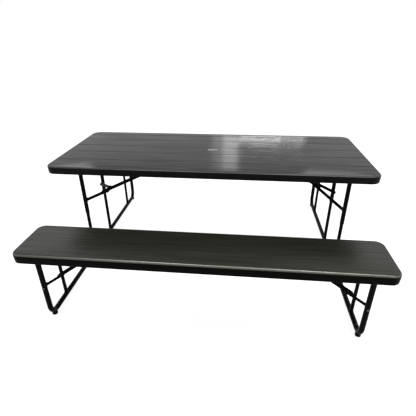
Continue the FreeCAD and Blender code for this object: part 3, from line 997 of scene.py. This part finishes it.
@dataclass
class Studio:
    """Floor, world, lamps and camera. Angles are in degrees, lens and sensor in millimetres."""

    lens: float = 29.64
    sensor: float = 36.0
    far: float = 60.0
    yaw: float = 6.15
    pitch: float = 27.62
    roll: float = 0.52
    eye: Point = (0.1952, -2.1004, 1.4307)
    world_light: float = 0.55
    floor_half: float = 14.0
    floor_drop: float = 0.0005
    floor_tone: float = 0.30
    floor_glow: float = 0.9
    bounce_tone: float = 0.8

    def camera(self) -> None:
        """Stands the camera where the photograph was taken from."""
        yaw, pitch, roll = (math.radians(v) for v in (self.yaw, self.pitch, self.roll))
        forward = Vector((-math.sin(yaw) * math.cos(pitch), math.cos(yaw) * math.cos(pitch),
                          -math.sin(pitch)))
        right = Vector((math.cos(yaw), math.sin(yaw), 0.0))
        down = forward.cross(right)
        across = right * math.cos(roll) + down * math.sin(roll)
        drop = -right * math.sin(roll) + down * math.cos(roll)
        data = bpy.data.cameras.new("camera")
        data.lens = self.lens
        data.sensor_width = self.sensor
        data.clip_end = self.far
        item = bpy.data.objects.new("camera", data)
        turn = Matrix((across, -drop, -forward)).transposed()
        item.matrix_world = Matrix.Translation(Vector(self.eye)) @ turn.to_4x4()
        bpy.context.scene.collection.objects.link(item)
        bpy.context.scene.camera = item

    def seen_directly(self, tree: bpy.types.NodeTree) -> bpy.types.NodeSocket:
        """A factor of 1 for what is seen directly, mirrored or through glass.

        Args:
            tree: The node tree.

        Returns:
            The factor socket.
        """
        path = tree.nodes.new("ShaderNodeLightPath")
        total = path.outputs["Is Camera Ray"]
        for name in ("Is Glossy Ray", "Is Transmission Ray"):
            step = tree.nodes.new("ShaderNodeMath")
            step.operation = "MAXIMUM"
            tree.links.new(total, step.inputs[0])
            tree.links.new(path.outputs[name], step.inputs[1])
            total = step.outputs[0]
        return total

    def blend(self, tree: bpy.types.NodeTree, factor: bpy.types.NodeSocket,
              first: bpy.types.Node, second: bpy.types.Node) -> bpy.types.Node:
        """Mixes two shaders.

        Args:
            tree: The node tree.
            factor: What drives the mix.
            first: The shader at 0.
            second: The shader at 1.

        Returns:
            The mix node.
        """
        mix = tree.nodes.new("ShaderNodeMixShader")
        tree.links.new(factor, mix.inputs["Fac"])
        tree.links.new(first.outputs[0], mix.inputs[1])
        tree.links.new(second.outputs[0], mix.inputs[2])
        return mix

    def world(self) -> None:
        """White to the eye, a soft even light on the object."""
        world = bpy.data.worlds.new("studio")
        bpy.context.scene.world = world
        world.use_nodes = True
        tree = world.node_tree
        tree.nodes.clear()
        soft = tree.nodes.new("ShaderNodeBackground")
        soft.inputs["Strength"].default_value = self.world_light
        white = tree.nodes.new("ShaderNodeBackground")
        for node in (soft, white):
            node.inputs["Color"].default_value = (*WHITE, 1.0)
        mix = self.blend(tree, self.seen_directly(tree), soft, white)
        output = tree.nodes.new("ShaderNodeOutputWorld")
        tree.links.new(mix.outputs[0], output.inputs["Surface"])

    def floor(self) -> None:
        """A plain white floor that keeps a faint shadow and lets the view from below through."""
        mesh = bmesh.new()
        bmesh.ops.create_grid(mesh, x_segments=1, y_segments=1, size=self.floor_half)
        item = new_object("studio_floor", mesh)
        item.location.z = -self.floor_drop
        material = bpy.data.materials.new("studio_floor")
        material.use_nodes = True
        tree = material.node_tree
        tree.nodes.clear()
        cloth = tree.nodes.new("ShaderNodeBsdfDiffuse")
        plain = tree.nodes.new("ShaderNodeBsdfDiffuse")
        for node, tone in ((cloth, self.floor_tone), (plain, self.bounce_tone)):
            node.inputs["Color"].default_value = (tone, tone, tone, 1.0)
        glow = tree.nodes.new("ShaderNodeEmission")
        glow.inputs["Strength"].default_value = self.floor_glow
        both = tree.nodes.new("ShaderNodeAddShader")
        tree.links.new(cloth.outputs[0], both.inputs[0])
        tree.links.new(glow.outputs[0], both.inputs[1])
        above = self.blend(tree, self.seen_directly(tree), plain, both)
        side = tree.nodes.new("ShaderNodeNewGeometry")
        clear = tree.nodes.new("ShaderNodeBsdfTransparent")
        one_way = self.blend(tree, side.outputs["Backfacing"], above, clear)
        output = tree.nodes.new("ShaderNodeOutputMaterial")
        tree.links.new(one_way.outputs[0], output.inputs["Surface"])
        item.data.materials.append(material)

    def build(self) -> None:
        """Sets up the whole studio."""
        bpy.context.scene.view_settings.view_transform = "Standard"
        self.camera()
        self.world()
        self.floor()
        for lamp in LAMPS:
            lamp.hang()
        LOG.info("studio: floor, world, lamps and camera")


TABLE_CORNER = 0.060
TABLE_SEAMS = (0.310, 0.185, 0.050, -0.085, -0.228)
UMBRELLA_HOLE = 0.022
BENCH_CORNER = 0.048
BENCH_EDGE = 0.014
CLIP_FIELD = 0.03  # half the length of the flat field over a hinge bar's clips
CLIP_FIELD_PAST = 0.02  # how far that field goes past the ends of the bar
BRACKET_FIELD = (0.02, 0.035)  # half the length and width of the field over a brace bracket


def fixing_zones(hinge_bar: str, link: str) -> tuple[FixingZone, ...]:
    """Where brackets are fixed under a top: over the hinge bars and at the braces' upper ends.

    Args:
        hinge_bar: The hinge bars' node name without its end.
        link: The upper brace links' node name without its end.

    Returns:
        Zones of middle X, middle Y, half length and half width.
    """
    zones = []
    for end in End:
        low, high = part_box(f"{hinge_bar}_{end.value}")
        centre = (low + high) / 2
        zones.append((centre.x, centre.y, CLIP_FIELD, (high.y - low.y) / 2 + CLIP_FIELD_PAST))
        low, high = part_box(f"{link}_{end.value}")
        inner = low.x if end is End.RIGHT else high.x
        zones.append((inner, (low.y + high.y) / 2, *BRACKET_FIELD))
    return tuple(zones)


def main() -> None:
    """Builds the object piece by piece and reports each one."""
    logging.basicConfig(level=logging.INFO, format="%(name)s %(message)s")
    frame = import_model()
    palette = Palette()
    zones = fixing_zones("table_hinge_bar", "table_channel")
    tops = [MouldedTop("table_top", "table", Slot.TABLE, TABLE_CORNER, hole=UMBRELLA_HOLE,
                       seams=TABLE_SEAMS, flat=zones)]
    for row in Row:
        zones = fixing_zones(f"bench_hinge_bar_{row.value}", f"bench_link_{row.value}")
        tops.append(MouldedTop(f"bench_top_{row.value}", "benches", Slot.BENCH, BENCH_CORNER,
                               edge_round=BENCH_EDGE, flat=zones))
    for top in tops:
        top.build(palette)
    for end in End:
        WeldBeads(end).build(palette)
        PadRivets(end).build(palette)
    DressedNodes(frame["nodes"], frame["record"]).dress(palette, [top.node for top in tops])
    Studio().build()


if __name__ == "__main__":
    main()
